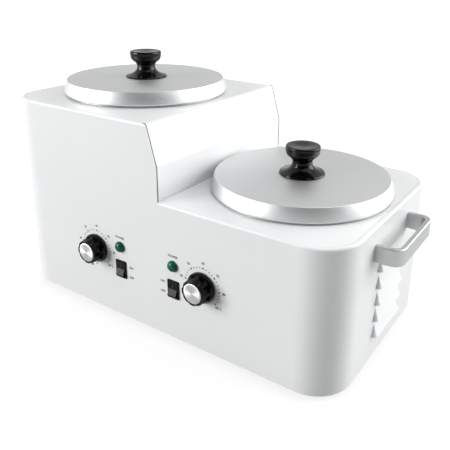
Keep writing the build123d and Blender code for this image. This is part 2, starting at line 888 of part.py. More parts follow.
def thermostat():
    """Thermostat behind the panel with its threaded bushing through it."""
    half = thermostat_size / 2
    body = block((-half, half), (-half, half), (-sheet - thermostat_depth, -sheet))
    body = fillet(body.edges().filter_by(Axis.Z), thermostat_corner_r)
    body += disc(bushing_r, -sheet, bushing_length)
    body -= disc(shaft_r + running, -thermostat_depth / 2 - running, bushing_length + 1)
    width, length, thick = thermostat_tab
    back = -sheet - thermostat_depth + thermostat_tab_back
    for x in (-thermostat_tab_x, thermostat_tab_x):
        body += block((x - width / 2, x + width / 2), (half, half + length), (back, back + thick))
    return body


# Rocker switches

def rocker_profile():
    """Side view of the rocker about its pivot: shallow V in front, ends on one arc."""
    rim_z = rocker_proud + pivot_sink
    valley_z = rocker_valley + pivot_sink
    rim_y = sqrt(rocker_end_r ** 2 - rim_z ** 2)
    back_y = sqrt(rocker_end_r ** 2 - rocker_depth ** 2)
    return make_face(
        Polyline((-rim_y, rim_z), (0, valley_z), (rim_y, rim_z))
        + ThreePointArc((rim_y, rim_z), (rocker_end_r, 0), (back_y, -rocker_depth))
        + ThreePointArc((back_y, -rocker_depth), (0, -rocker_depth - rocker_belly), (-back_y, -rocker_depth))
        + ThreePointArc((-back_y, -rocker_depth), (-rocker_end_r, 0), (-rim_y, rim_z))
    )


def rocker():
    """Rocker with its pivot pins, stored with the upper half pressed in."""
    shape = extrude(Plane.YZ * rocker_profile(), rocker_width / 2, both=True)
    rims = shape.edges().filter_by(Axis.X).group_by(Axis.Z)
    shape = fillet(rims[-1], rocker_edge_r)
    shape += Rot(0, 90, 0) * Cylinder(pivot_r, rocker_width + 2 * pivot_length)
    return Pos(0, 0, -pivot_sink) * Rot(-rocker_tilt, 0, 0) * shape


def switch_housing():
    """Snap-in frame: bevelled bezel in front, box with the rocker's well behind."""
    bezel = extrude(RectangleRounded(bezel_width, bezel_height, bezel_corner_r), bezel_proud)
    bezel = chamfer(bezel.edges().group_by(Axis.Z)[-1], bezel_chamfer)
    half_x, half_y = switch_width / 2, switch_height / 2
    frame = bezel + block((-half_x, half_x), (-half_y, half_y), (-switch_depth, 0))
    side_x = rocker_width / 2 + rocker_side_gap
    end_r = rocker_end_r + rocker_end_gap
    well_room = Pos(0, 0, -pivot_sink) * Rot(0, 90, 0) * Cylinder(end_r, 2 * side_x)
    throat = block((-side_x, side_x), (-end_r, end_r), (-pivot_sink, bezel_proud + 1))
    frame -= well_room + throat
    pivot_span = rocker_width + 2 * (pivot_length + fit)
    return frame - Pos(0, 0, -pivot_sink) * Rot(0, 90, 0) * Cylinder(pivot_r + running, pivot_span)


def switch_terminals():
    blade = Box(*switch_blade)
    middle = -switch_depth - switch_blade[2] / 2
    return [
        switch_frame(side) * Pos(0, y, middle) * blade
        for side in sides for y in (-switch_blade_y, switch_blade_y)
    ]


# Lamps

def lamp_lens():
    """Low domed lens with a rim."""
    top = lamp_rim + lamp_dome
    ball_r = (lamp_r ** 2 + lamp_dome ** 2) / (2 * lamp_dome)
    dome = Pos(0, 0, top - ball_r) * Sphere(ball_r) & disc(lamp_r, lamp_rim, top + 1)
    return disc(lamp_r, 0, lamp_rim) + dome


def lamp_bodies():
    shape = disc(lamp_body_r, -lamp_depth, 0)
    for x in (-lamp_wire_x, lamp_wire_x):
        shape += Pos(x, 0, 0) * disc(lamp_wire_r, -lamp_depth - lamp_wire_length, -lamp_depth)
    return [lamp_frame(side) * shape for side in sides]


def lamp_nuts():
    shape = nut(lamp_nut, lamp_body_r + running, lamp_nut_height)
    return [lamp_frame(side) * Pos(0, 0, -sheet - lamp_nut_height) * shape for side in sides]


# Handles

def handle():
    """Flat bar bent into a U, seated on the wall at Z = 0 of the wall's frame."""
    half_w, half_h = handle_width / 2, handle_height / 2
    outline = Rectangle(handle_width, 2 * handle_reach)
    outline = fillet(outline.vertices(), handle_corner_r)
    inside = Rectangle(handle_width - 2 * handle_bar, 2 * (handle_reach - handle_bar))
    inside = fillet(inside.vertices(), handle_corner_r - handle_bar)
    bar = extrude(Plane.XZ * (outline - inside), half_h, both=True)
    bar = bar & block((-half_w - 1, half_w + 1), (-half_h - 1, half_h + 1), (0, handle_reach + 1))

    def on_rim(edge):
        return abs(abs(edge.center().Y) - half_h) < fit and edge.center().Z > fit

    bar = fillet(bar.edges().filter_by(on_rim), handle_edge_r)
    for x in (-1, 1):
        bar -= Pos(x * (half_w - handle_bar / 2), 0, 0) * disc(handle_screw_r, -1, handle_hole_depth)
    return bar


def handle_screws():
    length = sheet + handle_hole_depth - screw_end_gap
    return [frame * Pos(0, 0, -sheet) * Rot(180, 0, 0) * screw(m3, length) for frame in handle_screw_frames()]


# Mains inlet and wiring

def chamfered(width, height, low, high, chamfer_size):
    """Prism with its two upper corners cut."""
    half_w, half_h = width / 2, height / 2
    face = make_face(Polyline(
        (-half_w, -half_h), (half_w, -half_h), (half_w, half_h - chamfer_size),
        (half_w - chamfer_size, half_h), (chamfer_size - half_w, half_h), (-half_w, half_h - chamfer_size),
        close=True,
    ))
    return extrude(Pos(0, 0, low) * face, high - low)


def pin_places():
    return ((-pin_spacing / 2, -pin_offset), (0, pin_offset), (pin_spacing / 2, -pin_offset))


def pin_range():
    """Back and front of the pins on the rear wall's frame."""
    floor = inlet_flange[2] - inlet_cavity[2]
    return floor - inlet_back - pin_tail, floor + pin_length


def inlet():
    """Flanged appliance inlet, let in from outside."""
    width, height, thick = inlet_flange
    flange = extrude(RectangleRounded(width, height, inlet_corner_r), thick)
    flange = chamfer(flange.edges().group_by(Axis.Z)[-1], inlet_edge)
    floor = thick - inlet_cavity[2]
    half_w, half_h = inlet_body[0] / 2, inlet_body[1] / 2
    body = flange + block((-half_w, half_w), (-half_h, half_h), (floor - inlet_back, 0))
    body -= chamfered(inlet_cavity[0], inlet_cavity[1], floor, thick + 1, inlet_chamfer)
    for x, y in pin_places():
        hole = Box(pin_section[0] + 2 * running, pin_section[1] + 2 * running, 4 * inlet_back)
        body -= Pos(x, y, floor) * hole
    for x in (-inlet_screw_spacing / 2, inlet_screw_spacing / 2):
        body -= Pos(x, 0, 0) * disc(m3.hole, -1, thick + 1)
    return body


def inlet_pins():
    low, high = pin_range()
    pins = []
    for x, y in pin_places():
        pin = Pos(x, y, (low + high) / 2) * Box(*pin_section, high - low)
        pin = chamfer(pin.edges().group_by(Axis.Z)[-1], pin_point)
        pins.append(inlet_frame * pin)
    return pins


def inlet_screws():
    length = inlet_flange[2] + sheet + m3.nut_height + 1
    return [
        inlet_frame * Pos(x, 0, inlet_flange[2]) * screw(m3, length)
        for x in (-inlet_screw_spacing / 2, inlet_screw_spacing / 2)
    ]


def pole_x(index):
    return (index - (pole_count - 1) / 2) * pole_pitch


def terminal_block():
    """Four-pole screw terminal on the base plate."""
    width, depth, height = block_size
    body = block((-width / 2, width / 2), (-depth / 2, depth / 2), (0, block_base))
    for x in [pole_x(index) for index in range(pole_count)]:
        across = (x - pole_width / 2, x + pole_width / 2)
        body += block(across, (pole_inset - depth / 2, depth / 2 - pole_inset), (block_base, height))
        body -= Pos(x, 0, height / 2) * Rot(90, 0, 0) * Cylinder(wire_hole_r, 2 * depth)
        for y in (-depth / 4, depth / 4):
            body -= Pos(x, y, 0) * disc(pole_screw_r, height - pole_screw_sink, height + 1)
    for x in (-block_screw_x, block_screw_x):
        body -= Pos(x, 0, 0) * disc(m3.hole, -1, height)
    return Pos(0, block_y, plate_top) * body


def block_screws():
    shape = Pos(0, block_y, plate_top + block_base) * screw(m3, block_base + 3 * sheet)
    return [Pos(x, 0, 0) * shape for x in (-block_screw_x, block_screw_x)]


def earth_stud():
    """Earth bolt through the base plate, with its washer and nut."""
    bolt = Pos(0, 0, plate_bottom) * Rot(180, 0, 0) * screw(m5, earth_length)
    washer = ring(m5.head + earth_washer_margin, earth_r + running, plate_top, plate_top + sheet)
    fixed = Pos(0, 0, plate_top + sheet) * nut(m5.nut, earth_r + running, m5.nut_height)
    return [Pos(earth_x, earth_y, 0) * solid for solid in (bolt, washer, fixed)]


def lead(*points):
    """Round lead along straight runs with rounded corners."""
    path = FilletPolyline(*points, radius=lead_bend_r)
    start = Plane(origin=points[0], z_dir=Vector(*points[1]) - Vector(*points[0]))
    return sweep(start * Circle(lead_r), path)


def supply_leads():
    """From the inlet's outer pins to the terminal block and from its middle pin to the earth bolt."""
    tail = body_depth / 2 + pin_range()[0]
    pole_z = plate_top + block_size[2] / 2
    rear = block_y + block_size[1] / 2
    leads = []
    for index, place in ((0, pin_places()[2]), (2, pin_places()[0])):
        x, z = inlet_x - place[0], shell_bottom + inlet_rise + place[1]
        leads.append(lead(
            (x, tail, z), (x, tail - lead_out, z), (pole_x(index), tail - lead_out, pole_z),
            (pole_x(index), rear - lead_grip, pole_z),
        ))
    z = shell_bottom + inlet_rise + pin_offset
    aside, back = lead_aside
    washer_top = plate_top + sheet
    end_x = earth_x + m5.nut / 2 / cos(radians(30)) + fit
    leads.append(lead(
        (inlet_x, tail, z), (inlet_x, tail - back, z), (inlet_x - aside, tail - back, z - back),
        (inlet_x - aside, earth_y, washer_top + lead_r), (end_x, earth_y, washer_top + lead_r),
    ))
    return leads


def side_leads(side):
    """One pot's circuit: block, switch, thermostat, cut-out, heater and back to the block."""
    pole_z = plate_top + block_size[2] / 2
    front = block_y - block_size[1] / 2
    low = plate_top + lead_r
    switch_z = shell_bottom + rocker_rise
    blade_y = switch_depth + switch_blade[2] - body_depth / 2
    back_y = blade_y + lead_out
    tab_y = sheet + thermostat_depth - thermostat_tab_back - thermostat_tab[2] / 2 - body_depth / 2
    tab_z = shell_bottom + dial_rise + thermostat_size / 2 + thermostat_tab[1]
    over_z = tab_z + lead_out + lead_clear
    blade_z = side.well_floor - sheet - cutout_height - cutout_blade[2]
    under_z = blade_z - lead_out - lead_clear
    heater_z = side.well_floor + band_rise - heater_tab[1]
    near_x = side.dial_x - side.hand * thermostat_tab_x
    far_x = side.dial_x + side.hand * thermostat_tab_x
    out_x = side.dial_x + side.hand * (thermostat_size / 2 + thermostat_pass)
    out_y = front_pass - body_depth / 2
    switch_pole = pole_x(0 if side.hand < 0 else pole_count - 1)
    heater_pole = pole_x(1 if side.hand < 0 else pole_count - 2)
    beside_x = side.switch_x + side.hand * bridge_steps[0]
    above_x = side.switch_x + side.hand * bridge_steps[1]
    above_y = bridge_back - body_depth / 2
    feed_x, feed_y = heater_tab_place(side, 1)
    back_x, return_y = heater_tab_place(side, -1)
    return [
        lead(
            (switch_pole, front + lead_grip, pole_z), (switch_pole, front - lead_out, pole_z),
            (side.switch_x, back_y, low), (side.switch_x, back_y, switch_z - switch_blade_y),
            (side.switch_x, blade_y, switch_z - switch_blade_y),
        ),
        lead(
            (side.switch_x, blade_y, switch_z + switch_blade_y),
            (side.switch_x, back_y, switch_z + switch_blade_y), (beside_x, back_y, switch_z + bridge_rise),
            (above_x, above_y, over_z), (near_x, tab_y, over_z), (near_x, tab_y, tab_z),
        ),
        lead(
            (far_x, tab_y, tab_z), (far_x, tab_y, over_z), (out_x, out_y, over_z), (out_x, out_y, under_z),
            (side.x, -cutout_blade_y, under_z), (side.x, -cutout_blade_y, blade_z),
        ),
        lead(
            (side.x, cutout_blade_y, blade_z), (side.x, cutout_blade_y, under_z), (feed_x, feed_y, under_z),
            (feed_x, feed_y, heater_z),
        ),
        lead(
            (back_x, return_y, heater_z), (back_x, return_y, low + lead_low),
            (heater_pole, front - lead_out, pole_z), (heater_pole, front + lead_grip, pole_z),
        ),
    ]


save("housing_shell", housing_shell())
save("high_cover", high_cover())
save("low_deck", low_deck())
save("base_plate", base_plate())
save("stud_nuts", *stud_nuts())
save("base_screws", *base_screws())
save("feet", *feet())
save("foot_screws", *foot_screws())
save("foot_nuts", *foot_nuts())
save("clamp_screws", *clamp_screws())
save("bulb_clips", *bulb_clips())
save("m3_nuts", *m3_nuts())
save("switch_terminals", *switch_terminals())
save("lamp_bodies", *lamp_bodies())
save("lamp_nuts", *lamp_nuts())
save("bushing_nuts", *[
    dial_frame(side) * nut(bushing_nut, bushing_r + running, bushing_nut_height) for side in sides
])
save("handle_screws", *handle_screws())
save("inlet", inlet_frame * inlet())
save("inlet_pins", *inlet_pins())
save("inlet_screws", *inlet_screws())
save("terminal_block", terminal_block())
save("block_screws", *block_screws())
save("earth_stud", *earth_stud())
save("wiring", *supply_leads(), *side_leads(sides[0]), *side_leads(sides[1]))
for side in sides:
    washer, fastener = lid_screw_set(side)
    save(f"{side.name}_well", well(side))
    save(f"{side.name}_pot", pot(side))
    save(f"{side.name}_lid", lid(side))
    save(f"{side.name}_lid_knob", lid_knob(side))
    save(f"{side.name}_lid_washer", washer)
    save(f"{side.name}_lid_screw", fastener)
    save(f"{side.name}_heater_band", heater_band(side))
    save(f"{side.name}_sleeve", sleeve(side))
    save(f"{side.name}_sensing_bulb", sensing_bulb(side))
    save(f"{side.name}_cutout", cutout(side))
    save(f"{side.name}_dial_knob", dial_frame(side) * dial_knob())
    save(f"{side.name}_dial_cap", dial_frame(side) * dial_cap())
    save(f"{side.name}_thermostat_shaft", dial_frame(side) * thermostat_shaft())
    save(f"{side.name}_thermostat", dial_frame(side) * thermostat())
    save(f"{side.name}_switch_housing", switch_frame(side) * switch_housing())
    save(f"{side.name}_rocker", switch_frame(side) * rocker())
    save(f"{side.name}_lamp_lens", lamp_frame(side) * lamp_lens())
    save(f"{side.name}_handle", on_wall(90 * side.hand, 0, shell_bottom + handle_rise) * handle())
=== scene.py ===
import json
from math import cos, pi, radians, sin, tan

import bpy
from mathutils import Matrix, Vector


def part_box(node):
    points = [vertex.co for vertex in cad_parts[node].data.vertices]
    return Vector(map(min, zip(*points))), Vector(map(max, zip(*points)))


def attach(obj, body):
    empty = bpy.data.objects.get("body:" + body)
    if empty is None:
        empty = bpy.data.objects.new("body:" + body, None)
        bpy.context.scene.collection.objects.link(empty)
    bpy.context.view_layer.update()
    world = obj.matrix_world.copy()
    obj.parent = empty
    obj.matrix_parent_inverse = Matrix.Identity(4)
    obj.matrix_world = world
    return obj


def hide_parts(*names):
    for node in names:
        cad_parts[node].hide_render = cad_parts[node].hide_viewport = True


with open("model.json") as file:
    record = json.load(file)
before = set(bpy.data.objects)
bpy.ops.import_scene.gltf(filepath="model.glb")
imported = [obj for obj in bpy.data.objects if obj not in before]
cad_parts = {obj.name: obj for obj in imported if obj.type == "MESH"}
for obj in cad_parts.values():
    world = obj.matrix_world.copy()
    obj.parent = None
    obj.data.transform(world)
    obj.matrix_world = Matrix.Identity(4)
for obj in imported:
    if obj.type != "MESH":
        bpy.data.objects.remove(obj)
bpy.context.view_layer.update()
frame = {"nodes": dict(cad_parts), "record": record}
nodes = frame["nodes"]
slotOf = {part["node"]: part["material_slot"] for part in frame["record"]["subparts"]}
sides = ("left", "right")
print("frame: %d CAD nodes" % len(nodes))


# Places read from the frame

def sizesOf(node):
    low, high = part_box(node)
    return (low + high) / 2, high - low


def potAxis(side):
    middle = sizesOf(side + "_pot")[0]
    return Vector((middle.x, middle.y, 0))


# Selecting, shaping and finishing

def selectOnly(*pieces):
    bpy.ops.object.select_all(action="DESELECT")
    for piece in pieces:
        piece.select_set(True)
    bpy.context.view_layer.objects.active = pieces[-1]


def applyModifier(piece, kind, settings):
    selectOnly(piece)
    modifier = piece.modifiers.new(kind.title(), kind)
    for name, value in settings.items():
        setattr(modifier, name, value)
    bpy.ops.object.modifier_apply(modifier=modifier.name)


def roundEdges(piece, width, segments=3, angle=30):
    applyModifier(piece, "BEVEL", {
        "width": width, "segments": segments, "limit_method": "ANGLE", "angle_limit": radians(angle),
    })


def cutAway(piece, cutter):
    applyModifier(piece, "BOOLEAN", {"object": cutter, "operation": "DIFFERENCE", "solver": "EXACT"})
    bpy.data.objects.remove(cutter)


def joinPieces(pieces):
    selectOnly(*pieces)
    bpy.ops.object.join()
    return bpy.context.object


def copyOf(piece):
    selectOnly(piece)
    bpy.ops.object.duplicate(linked=False)
    return bpy.context.object


def placeInMesh(piece):
    selectOnly(piece)
    bpy.ops.object.transform_apply(location=True, rotation=True, scale=True)


def finishPiece(piece, name, body, material, standsFor=(), smooth=35):
    placeInMesh(piece)
    bpy.ops.object.shade_smooth_by_angle(angle=radians(smooth))
    piece.name = name
    piece.data.materials.clear()
    piece.data.materials.append(material)
    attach(piece, body)
    if standsFor:
        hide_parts(*standsFor)
    return piece


mergeWithin = 0.000002


# A run of edges through points (x, z) at one y, left open in edit mode
def drawWire(points, y=0):
    bpy.ops.object.select_all(action="DESELECT")
    bpy.ops.mesh.primitive_plane_add(size=0.001)
    piece = bpy.context.object
    bpy.ops.object.mode_set(mode="EDIT")
    bpy.ops.mesh.merge(type="CENTER")
    bpy.ops.transform.translate(value=(points[0][0], y, points[0][1]))
    for (x0, z0), (x1, z1) in zip(points, points[1:]):
        bpy.ops.mesh.extrude_vertices_move(TRANSFORM_OT_translate={"value": (x1 - x0, 0, z1 - z0)})
    bpy.ops.mesh.select_all(action="SELECT")
    return piece


# Corners (radius, height) of a low dome, from its foot to its top
def domeCorners(radius, foot, top, rings):
    turns = [index / rings * pi / 2 for index in range(rings + 1)]
    return [(radius * cos(turn), foot + (top - foot) * sin(turn)) for turn in turns]


# A closed shape turned about Z at the origin, from its corners (radius, height)
def turnPiece(profile, steps):
    piece = drawWire(profile)
    bpy.ops.mesh.spin(steps=steps, angle=2 * pi, center=(0, 0, 0), axis=(0, 0, 1))
    bpy.ops.mesh.select_all(action="SELECT")
    bpy.ops.mesh.remove_doubles(threshold=mergeWithin)
    bpy.ops.mesh.normals_make_consistent(inside=False)
    bpy.ops.object.mode_set(mode="OBJECT")
    return piece


# Shader node groups for effects that several materials share

def addNode(tree, kind, **settings):
    node = tree.nodes.new(kind)
    for name, value in settings.items():
        setattr(node, name, value)
    return node


def addNoise(tree, vector, scale, detail=3.0, rough=0.55, dimensions="3D"):
    node = addNode(tree, "ShaderNodeTexNoise", noise_dimensions=dimensions)
    if isinstance(scale, (int, float)):
        node.inputs["Scale"].default_value = scale
    else:
        tree.links.new(scale, node.inputs["Scale"])
    node.inputs["Detail"].default_value = detail
    node.inputs["Roughness"].default_value = rough
    tree.links.new(vector, node.inputs["W" if dimensions == "1D" else "Vector"])
    return node.outputs["Fac"]


def addRange(tree, value, low, high, toLow=0.0, toHigh=1.0):
    node = addNode(tree, "ShaderNodeMapRange", clamp=True)
    for label, amount in (("From Min", low), ("From Max", high), ("To Min", toLow), ("To Max", toHigh)):
        node.inputs[label].default_value = amount
    tree.links.new(value, node.inputs["Value"])
    return node.outputs["Result"]


def addMath(tree, operation, a, b):
    node = addNode(tree, "ShaderNodeMath", operation=operation)
    for socket, value in zip(node.inputs, (a, b)):
        if isinstance(value, (int, float)):
            socket.default_value = value
        else:
            tree.links.new(value, socket)
    return node.outputs[0]


def newGroup(name, inputs, outputs):
    group = bpy.data.node_groups.new(name, "ShaderNodeTree")
    for label, (kind, value) in inputs.items():
        socket = group.interface.new_socket(label, in_out="INPUT", socket_type=kind)
        if value is not None:
            socket.default_value = value
    for label in outputs:
        group.interface.new_socket(label, in_out="OUTPUT", socket_type="NodeSocketFloat")
    return group, group.nodes.new("NodeGroupInput"), group.nodes.new("NodeGroupOutput")


# Sprayed or moulded surface: a slow tone, a fine texture and rare handling marks
def makeSkinGroup():
    group, start, end = newGroup(
        "surfaceSkin",
        {"Vector": ("NodeSocketVector", None), "Texture Scale": ("NodeSocketFloat", 600.0)},
        ("Tone", "Texture", "Marks"),
    )
    vector = start.outputs["Vector"]
    tone = addRange(group, addNoise(group, vector, 9.0, 2.0), 0.3, 0.7)
    texture = addNoise(group, vector, start.outputs["Texture Scale"], 2.0)
    smudges = addRange(group, addNoise(group, vector, 38.0, 5.0, 0.65), 0.52, 0.74)
    rubs = addRange(group, addNoise(group, vector, 420.0, 4.0, 0.7), 0.6, 0.8)
    group.links.new(tone, end.inputs["Tone"])
    group.links.new(texture, end.inputs["Texture"])
    group.links.new(addMath(group, "MULTIPLY", smudges, rubs), end.inputs["Marks"])
    return group


# Concentric tool marks round the Z axis of the vector
def makeTurnedGroup():
    group, start, end = newGroup(
        "turnedMarks",
        {"Vector": ("NodeSocketVector", None), "Lines Per Metre": ("NodeSocketFloat", 2500.0)},
        ("Lines", "Bands"),
    )
    flat = addNode(group, "ShaderNodeVectorMath", operation="MULTIPLY")
    flat.inputs[1].default_value = (1, 1, 0)
    group.links.new(start.outputs["Vector"], flat.inputs[0])
    radius = addNode(group, "ShaderNodeVectorMath", operation="LENGTH")
    group.links.new(flat.outputs[0], radius.inputs[0])
    lines = addNoise(group, radius.outputs["Value"], start.outputs["Lines Per Metre"], 2.0, 0.6, "1D")
    group.links.new(lines, end.inputs["Lines"])
    group.links.new(addNoise(group, radius.outputs["Value"], 60.0, 2.0, 0.5, "1D"), end.inputs["Bands"])
    return group


# Fine straight grain along the X axis of the vector, as on rolled sheet or drawn bar
def makeGrainGroup():
    group, start, end = newGroup(
        "straightGrain",
        {"Vector": ("NodeSocketVector", None), "Stretch": ("NodeSocketVector", (20.0, 1600.0, 1600.0))},
        ("Lines", "Tone"),
    )
    stretched = addNode(group, "ShaderNodeVectorMath", operation="MULTIPLY")
    group.links.new(start.outputs["Vector"], stretched.inputs[0])
    group.links.new(start.outputs["Stretch"], stretched.inputs[1])
    group.links.new(addNoise(group, stretched.outputs[0], 1.0, 3.0), end.inputs["Lines"])
    group.links.new(addNoise(group, start.outputs["Vector"], 25.0, 3.0), end.inputs["Tone"])
    return group


# Matt grain of blasted or satin-etched metal, in two sizes
def makeBlastGroup():
    group, start, end = newGroup(
        "blastedGrain",
        {"Vector": ("NodeSocketVector", None), "Grains Per Metre": ("NodeSocketFloat", 1800.0)},
        ("Grain", "Clouds"),
    )
    vector = start.outputs["Vector"]
    group.links.new(addNoise(group, vector, start.outputs["Grains Per Metre"], 3.0, 0.7), end.inputs["Grain"])
    group.links.new(addNoise(group, vector, 14.0, 3.0, 0.5), end.inputs["Clouds"])
    return group


skinGroup = makeSkinGroup()
turnedGroup = makeTurnedGroup()
grainGroup = makeGrainGroup()
blastGroup = makeBlastGroup()


# Materials: each has a Principled shader, Object coordinates and one or two of the effects above

def tinted(colour, factor):
    return tuple(min(1.0, part * factor) for part in colour) + (1.0,)


def newMaterial(name, sockets):
    material = bpy.data.materials.new(name)
    material.use_nodes = True
    tree = material.node_tree
    shader = tree.nodes["Principled BSDF"]
    for label, value in sockets.items():
        shader.inputs[label].default_value = value
    return material, tree, shader


def objectPlace(tree, middle=None, turn=(0, 0, 0)):
    place = addNode(tree, "ShaderNodeTexCoord").outputs["Object"]
    if middle is None:
        return place
    mapping = addNode(tree, "ShaderNodeMapping", vector_type="TEXTURE")
    mapping.inputs["Location"].default_value = middle
    mapping.inputs["Rotation"].default_value = turn
    tree.links.new(place, mapping.inputs["Vector"])
    return mapping.outputs["Vector"]


def useGroup(tree, group, vector, values):
    node = addNode(tree, "ShaderNodeGroup", node_tree=group)
    tree.links.new(vector, node.inputs["Vector"])
    for label, value in values.items():
        node.inputs[label].default_value = value
    return node.outputs


def mixColour(tree, factor, low, high, target):
    mix = addNode(tree, "ShaderNodeMix", data_type="RGBA")
    mix.inputs[6].default_value = low
    mix.inputs[7].default_value = high
    tree.links.new(factor, mix.inputs[0])
    tree.links.new(mix.outputs[2], target)


def raiseBump(tree, height, depth, target, strength=0.5):
    bump = addNode(tree, "ShaderNodeBump")
    bump.inputs["Strength"].default_value = strength
    bump.inputs["Distance"].default_value = depth
    tree.links.new(height, bump.inputs["Height"])
    tree.links.new(bump.outputs["Normal"], target)


def dress(tree, shader, look, tone, wear, height):
    contrast = look.get("contrast", 0.04)
    rough = look["rough"]
    mixColour(
        tree, tone, tinted(look["colour"], 1 - contrast), tinted(look["colour"], 1 + contrast),
        shader.inputs["Base Color"],
    )
    worn = addRange(tree, wear, 0, 1, rough, rough + look.get("roughSpread", 0.15))
    tree.links.new(worn, shader.inputs["Roughness"])
    raiseBump(tree, height, look["depth"], shader.inputs["Normal"])


def skinMaterial(name, look):
    material, tree, shader = newMaterial(name, look.get("sockets", {}))
    skin = useGroup(tree, skinGroup, objectPlace(tree), {"Texture Scale": look["texture"]})
    dress(tree, shader, look, skin["Tone"], skin["Marks"], skin["Texture"])
    return material


def turnedMaterial(name, look, middle, turn=(0, 0, 0)):
    material, tree, shader = newMaterial(name, {"Metallic": 1.0, **look.get("sockets", {})})
    marks = useGroup(tree, turnedGroup, objectPlace(tree, middle, turn), {"Lines Per Metre": look["lines"]})
    dress(tree, shader, look, marks["Bands"], marks["Lines"], marks["Lines"])
    return material


barStretch = (20.0, 1600.0, 1600.0)


def grainMaterial(name, look):
    material, tree, shader = newMaterial(name, {"Metallic": 1.0, **look.get("sockets", {})})
    grain = useGroup(tree, grainGroup, objectPlace(tree), {"Stretch": barStretch})
    dress(tree, shader, look, grain["Tone"], grain["Lines"], grain["Lines"])
    return material


def blastMaterial(name, look):
    material, tree, shader = newMaterial(name, {"Metallic": 1.0, **look.get("sockets", {})})
    blast = useGroup(tree, blastGroup, objectPlace(tree), {"Grains Per Metre": look["grains"]})
    dress(tree, shader, look, blast["Clouds"], blast["Grain"], blast["Grain"])
    return material


enamel = {
    "colour": (0.80, 0.815, 0.82), "contrast": 0.01, "rough": 0.3, "texture": 520.0, "depth": 0.00001,
    "sockets": {"Coat Weight": 0.25, "Coat Roughness": 0.08, "Specular IOR Level": 0.3},
}
handleSatin = {"colour": (0.56, 0.57, 0.57), "contrast": 0.03, "rough": 0.3, "depth": 0.00002}
knobGloss = {
    "colour": (0.0025, 0.0025, 0.003), "contrast": 0.3, "rough": 0.13, "texture": 900.0, "depth": 0.000006,
    "sockets": {"Specular IOR Level": 0.26},
}
dialGloss = {
    "colour": (0.0025, 0.0025, 0.003), "contrast": 0.3, "rough": 0.16, "texture": 1300.0, "depth": 0.000008,
    "sockets": {"Specular IOR Level": 0.16},
}
switchBlack = {
    "colour": (0.004, 0.004, 0.005), "contrast": 0.25, "rough": 0.2, "texture": 1500.0, "depth": 0.000012,
    "sockets": {"Specular IOR Level": 0.12},
}
innerBlack = {
    "colour": (0.03, 0.03, 0.03), "contrast": 0.2, "rough": 0.45, "texture": 1200.0, "depth": 0.00002,
}
rubber = {"colour": (0.02, 0.02, 0.02), "contrast": 0.3, "rough": 0.62, "texture": 1400.0, "depth": 0.00005}
silicone = {"colour": (0.55, 0.53, 0.49), "contrast": 0.08, "rough": 0.5, "texture": 1500.0, "depth": 0.00002}
felt = {"colour": (0.72, 0.69, 0.6), "contrast": 0.12, "rough": 0.8, "texture": 700.0, "depth": 0.0006}
ink = {"colour": (0.012, 0.012, 0.014), "contrast": 0.2, "rough": 0.4, "texture": 900.0, "depth": 0.00001}
zinc = {"colour": (0.62, 0.63, 0.65), "rough": 0.24, "depth": 0.00002}
plateSteel = {"colour": (0.55, 0.56, 0.57), "rough": 0.3, "depth": 0.00002}
hotSteel = {"colour": (0.42, 0.38, 0.34), "contrast": 0.1, "rough": 0.32, "depth": 0.00003}
copper = {"colour": (0.7, 0.36, 0.23), "contrast": 0.1, "rough": 0.3, "depth": 0.00002}
brass = {"colour": (0.74, 0.57, 0.26), "contrast": 0.08, "rough": 0.22, "depth": 0.00001}

slotMaterials = {
    "housing_paint": skinMaterial("glossWhiteEnamel", enamel),
    "handle_metal": grainMaterial("handleSatinMetal", handleSatin),
    "black_plastic": skinMaterial("switchBlack", switchBlack),
    "inner_plastic": skinMaterial("innerBlack", innerBlack),
    "foot_rubber": skinMaterial("footRubber", rubber),
    "lead_silicone": skinMaterial("leadSilicone", silicone),
    "glass_felt": skinMaterial("glassFelt", felt),
    "base_steel": grainMaterial("baseSteel", plateSteel),
    "zinc_steel": grainMaterial("zincSteel", zinc),
    "heater_steel": grainMaterial("heaterSteel", hotSteel),
    "copper": grainMaterial("copperTube", copper),
    "brass": grainMaterial("pinBrass", brass),
}
knobMaterial = skinMaterial("knobGlossBlack", knobGloss)
dialMaterial = skinMaterial("dialGlossBlack", dialGloss)
inkMaterial = skinMaterial("printInk", ink)
print("materials: shared finishes made")


# Camera, lights and floor

camera = {
    "place": (0.37551, -0.50769, 0.38395),
    "azimuth": 33.336, "elevation": 19.214, "roll": 0.785,
    "sensor": 36, "lens": 45.85, "shift": (-0.04444, -0.13333),
}


def makeCamera():
    data = bpy.data.cameras.new("camera")
    data.sensor_width = camera["sensor"]
    data.lens = camera["lens"]
    data.shift_x, data.shift_y = camera["shift"]
    data.clip_start = 0.01
    view = bpy.data.objects.new("camera", data)
    bpy.context.scene.collection.objects.link(view)
    view.matrix_world = (
        Matrix.Translation(camera["place"])
        @ Matrix.Rotation(radians(camera["azimuth"]), 4, "Z")
        @ Matrix.Rotation(radians(90 - camera["elevation"]), 4, "X")
        @ Matrix.Rotation(radians(camera["roll"]), 4, "Z")
    )
    bpy.context.scene.camera = view


softboxAim = Vector((0, 0, 0.1))
softboxes = {
    "top": {"place": (0.7, 0.1, 1.3), "size": (1.5, 1.2), "watts": 5.5},
    "right": {"place": (2.6, 2.03, 1.05), "size": (3.2, 2.2), "watts": 110.0},
    "left": {"place": (-2.28, -2.62, 0.95), "size": (1.9, 2.3), "watts": 126.0},
}


def makeSoftbox(name, box):
    data = bpy.data.lights.new(name, "AREA")
    data.shape = "RECTANGLE"
    data.size, data.size_y = box["size"]
    data.energy = box["watts"]
    light = bpy.data.objects.new(name + "Softbox", data)
    bpy.context.scene.collection.objects.link(light)
    light.location = box["place"]
    light.rotation_euler = (softboxAim - light.location).to_track_quat("-Z", "Y").to_euler()
    light.visible_camera = False


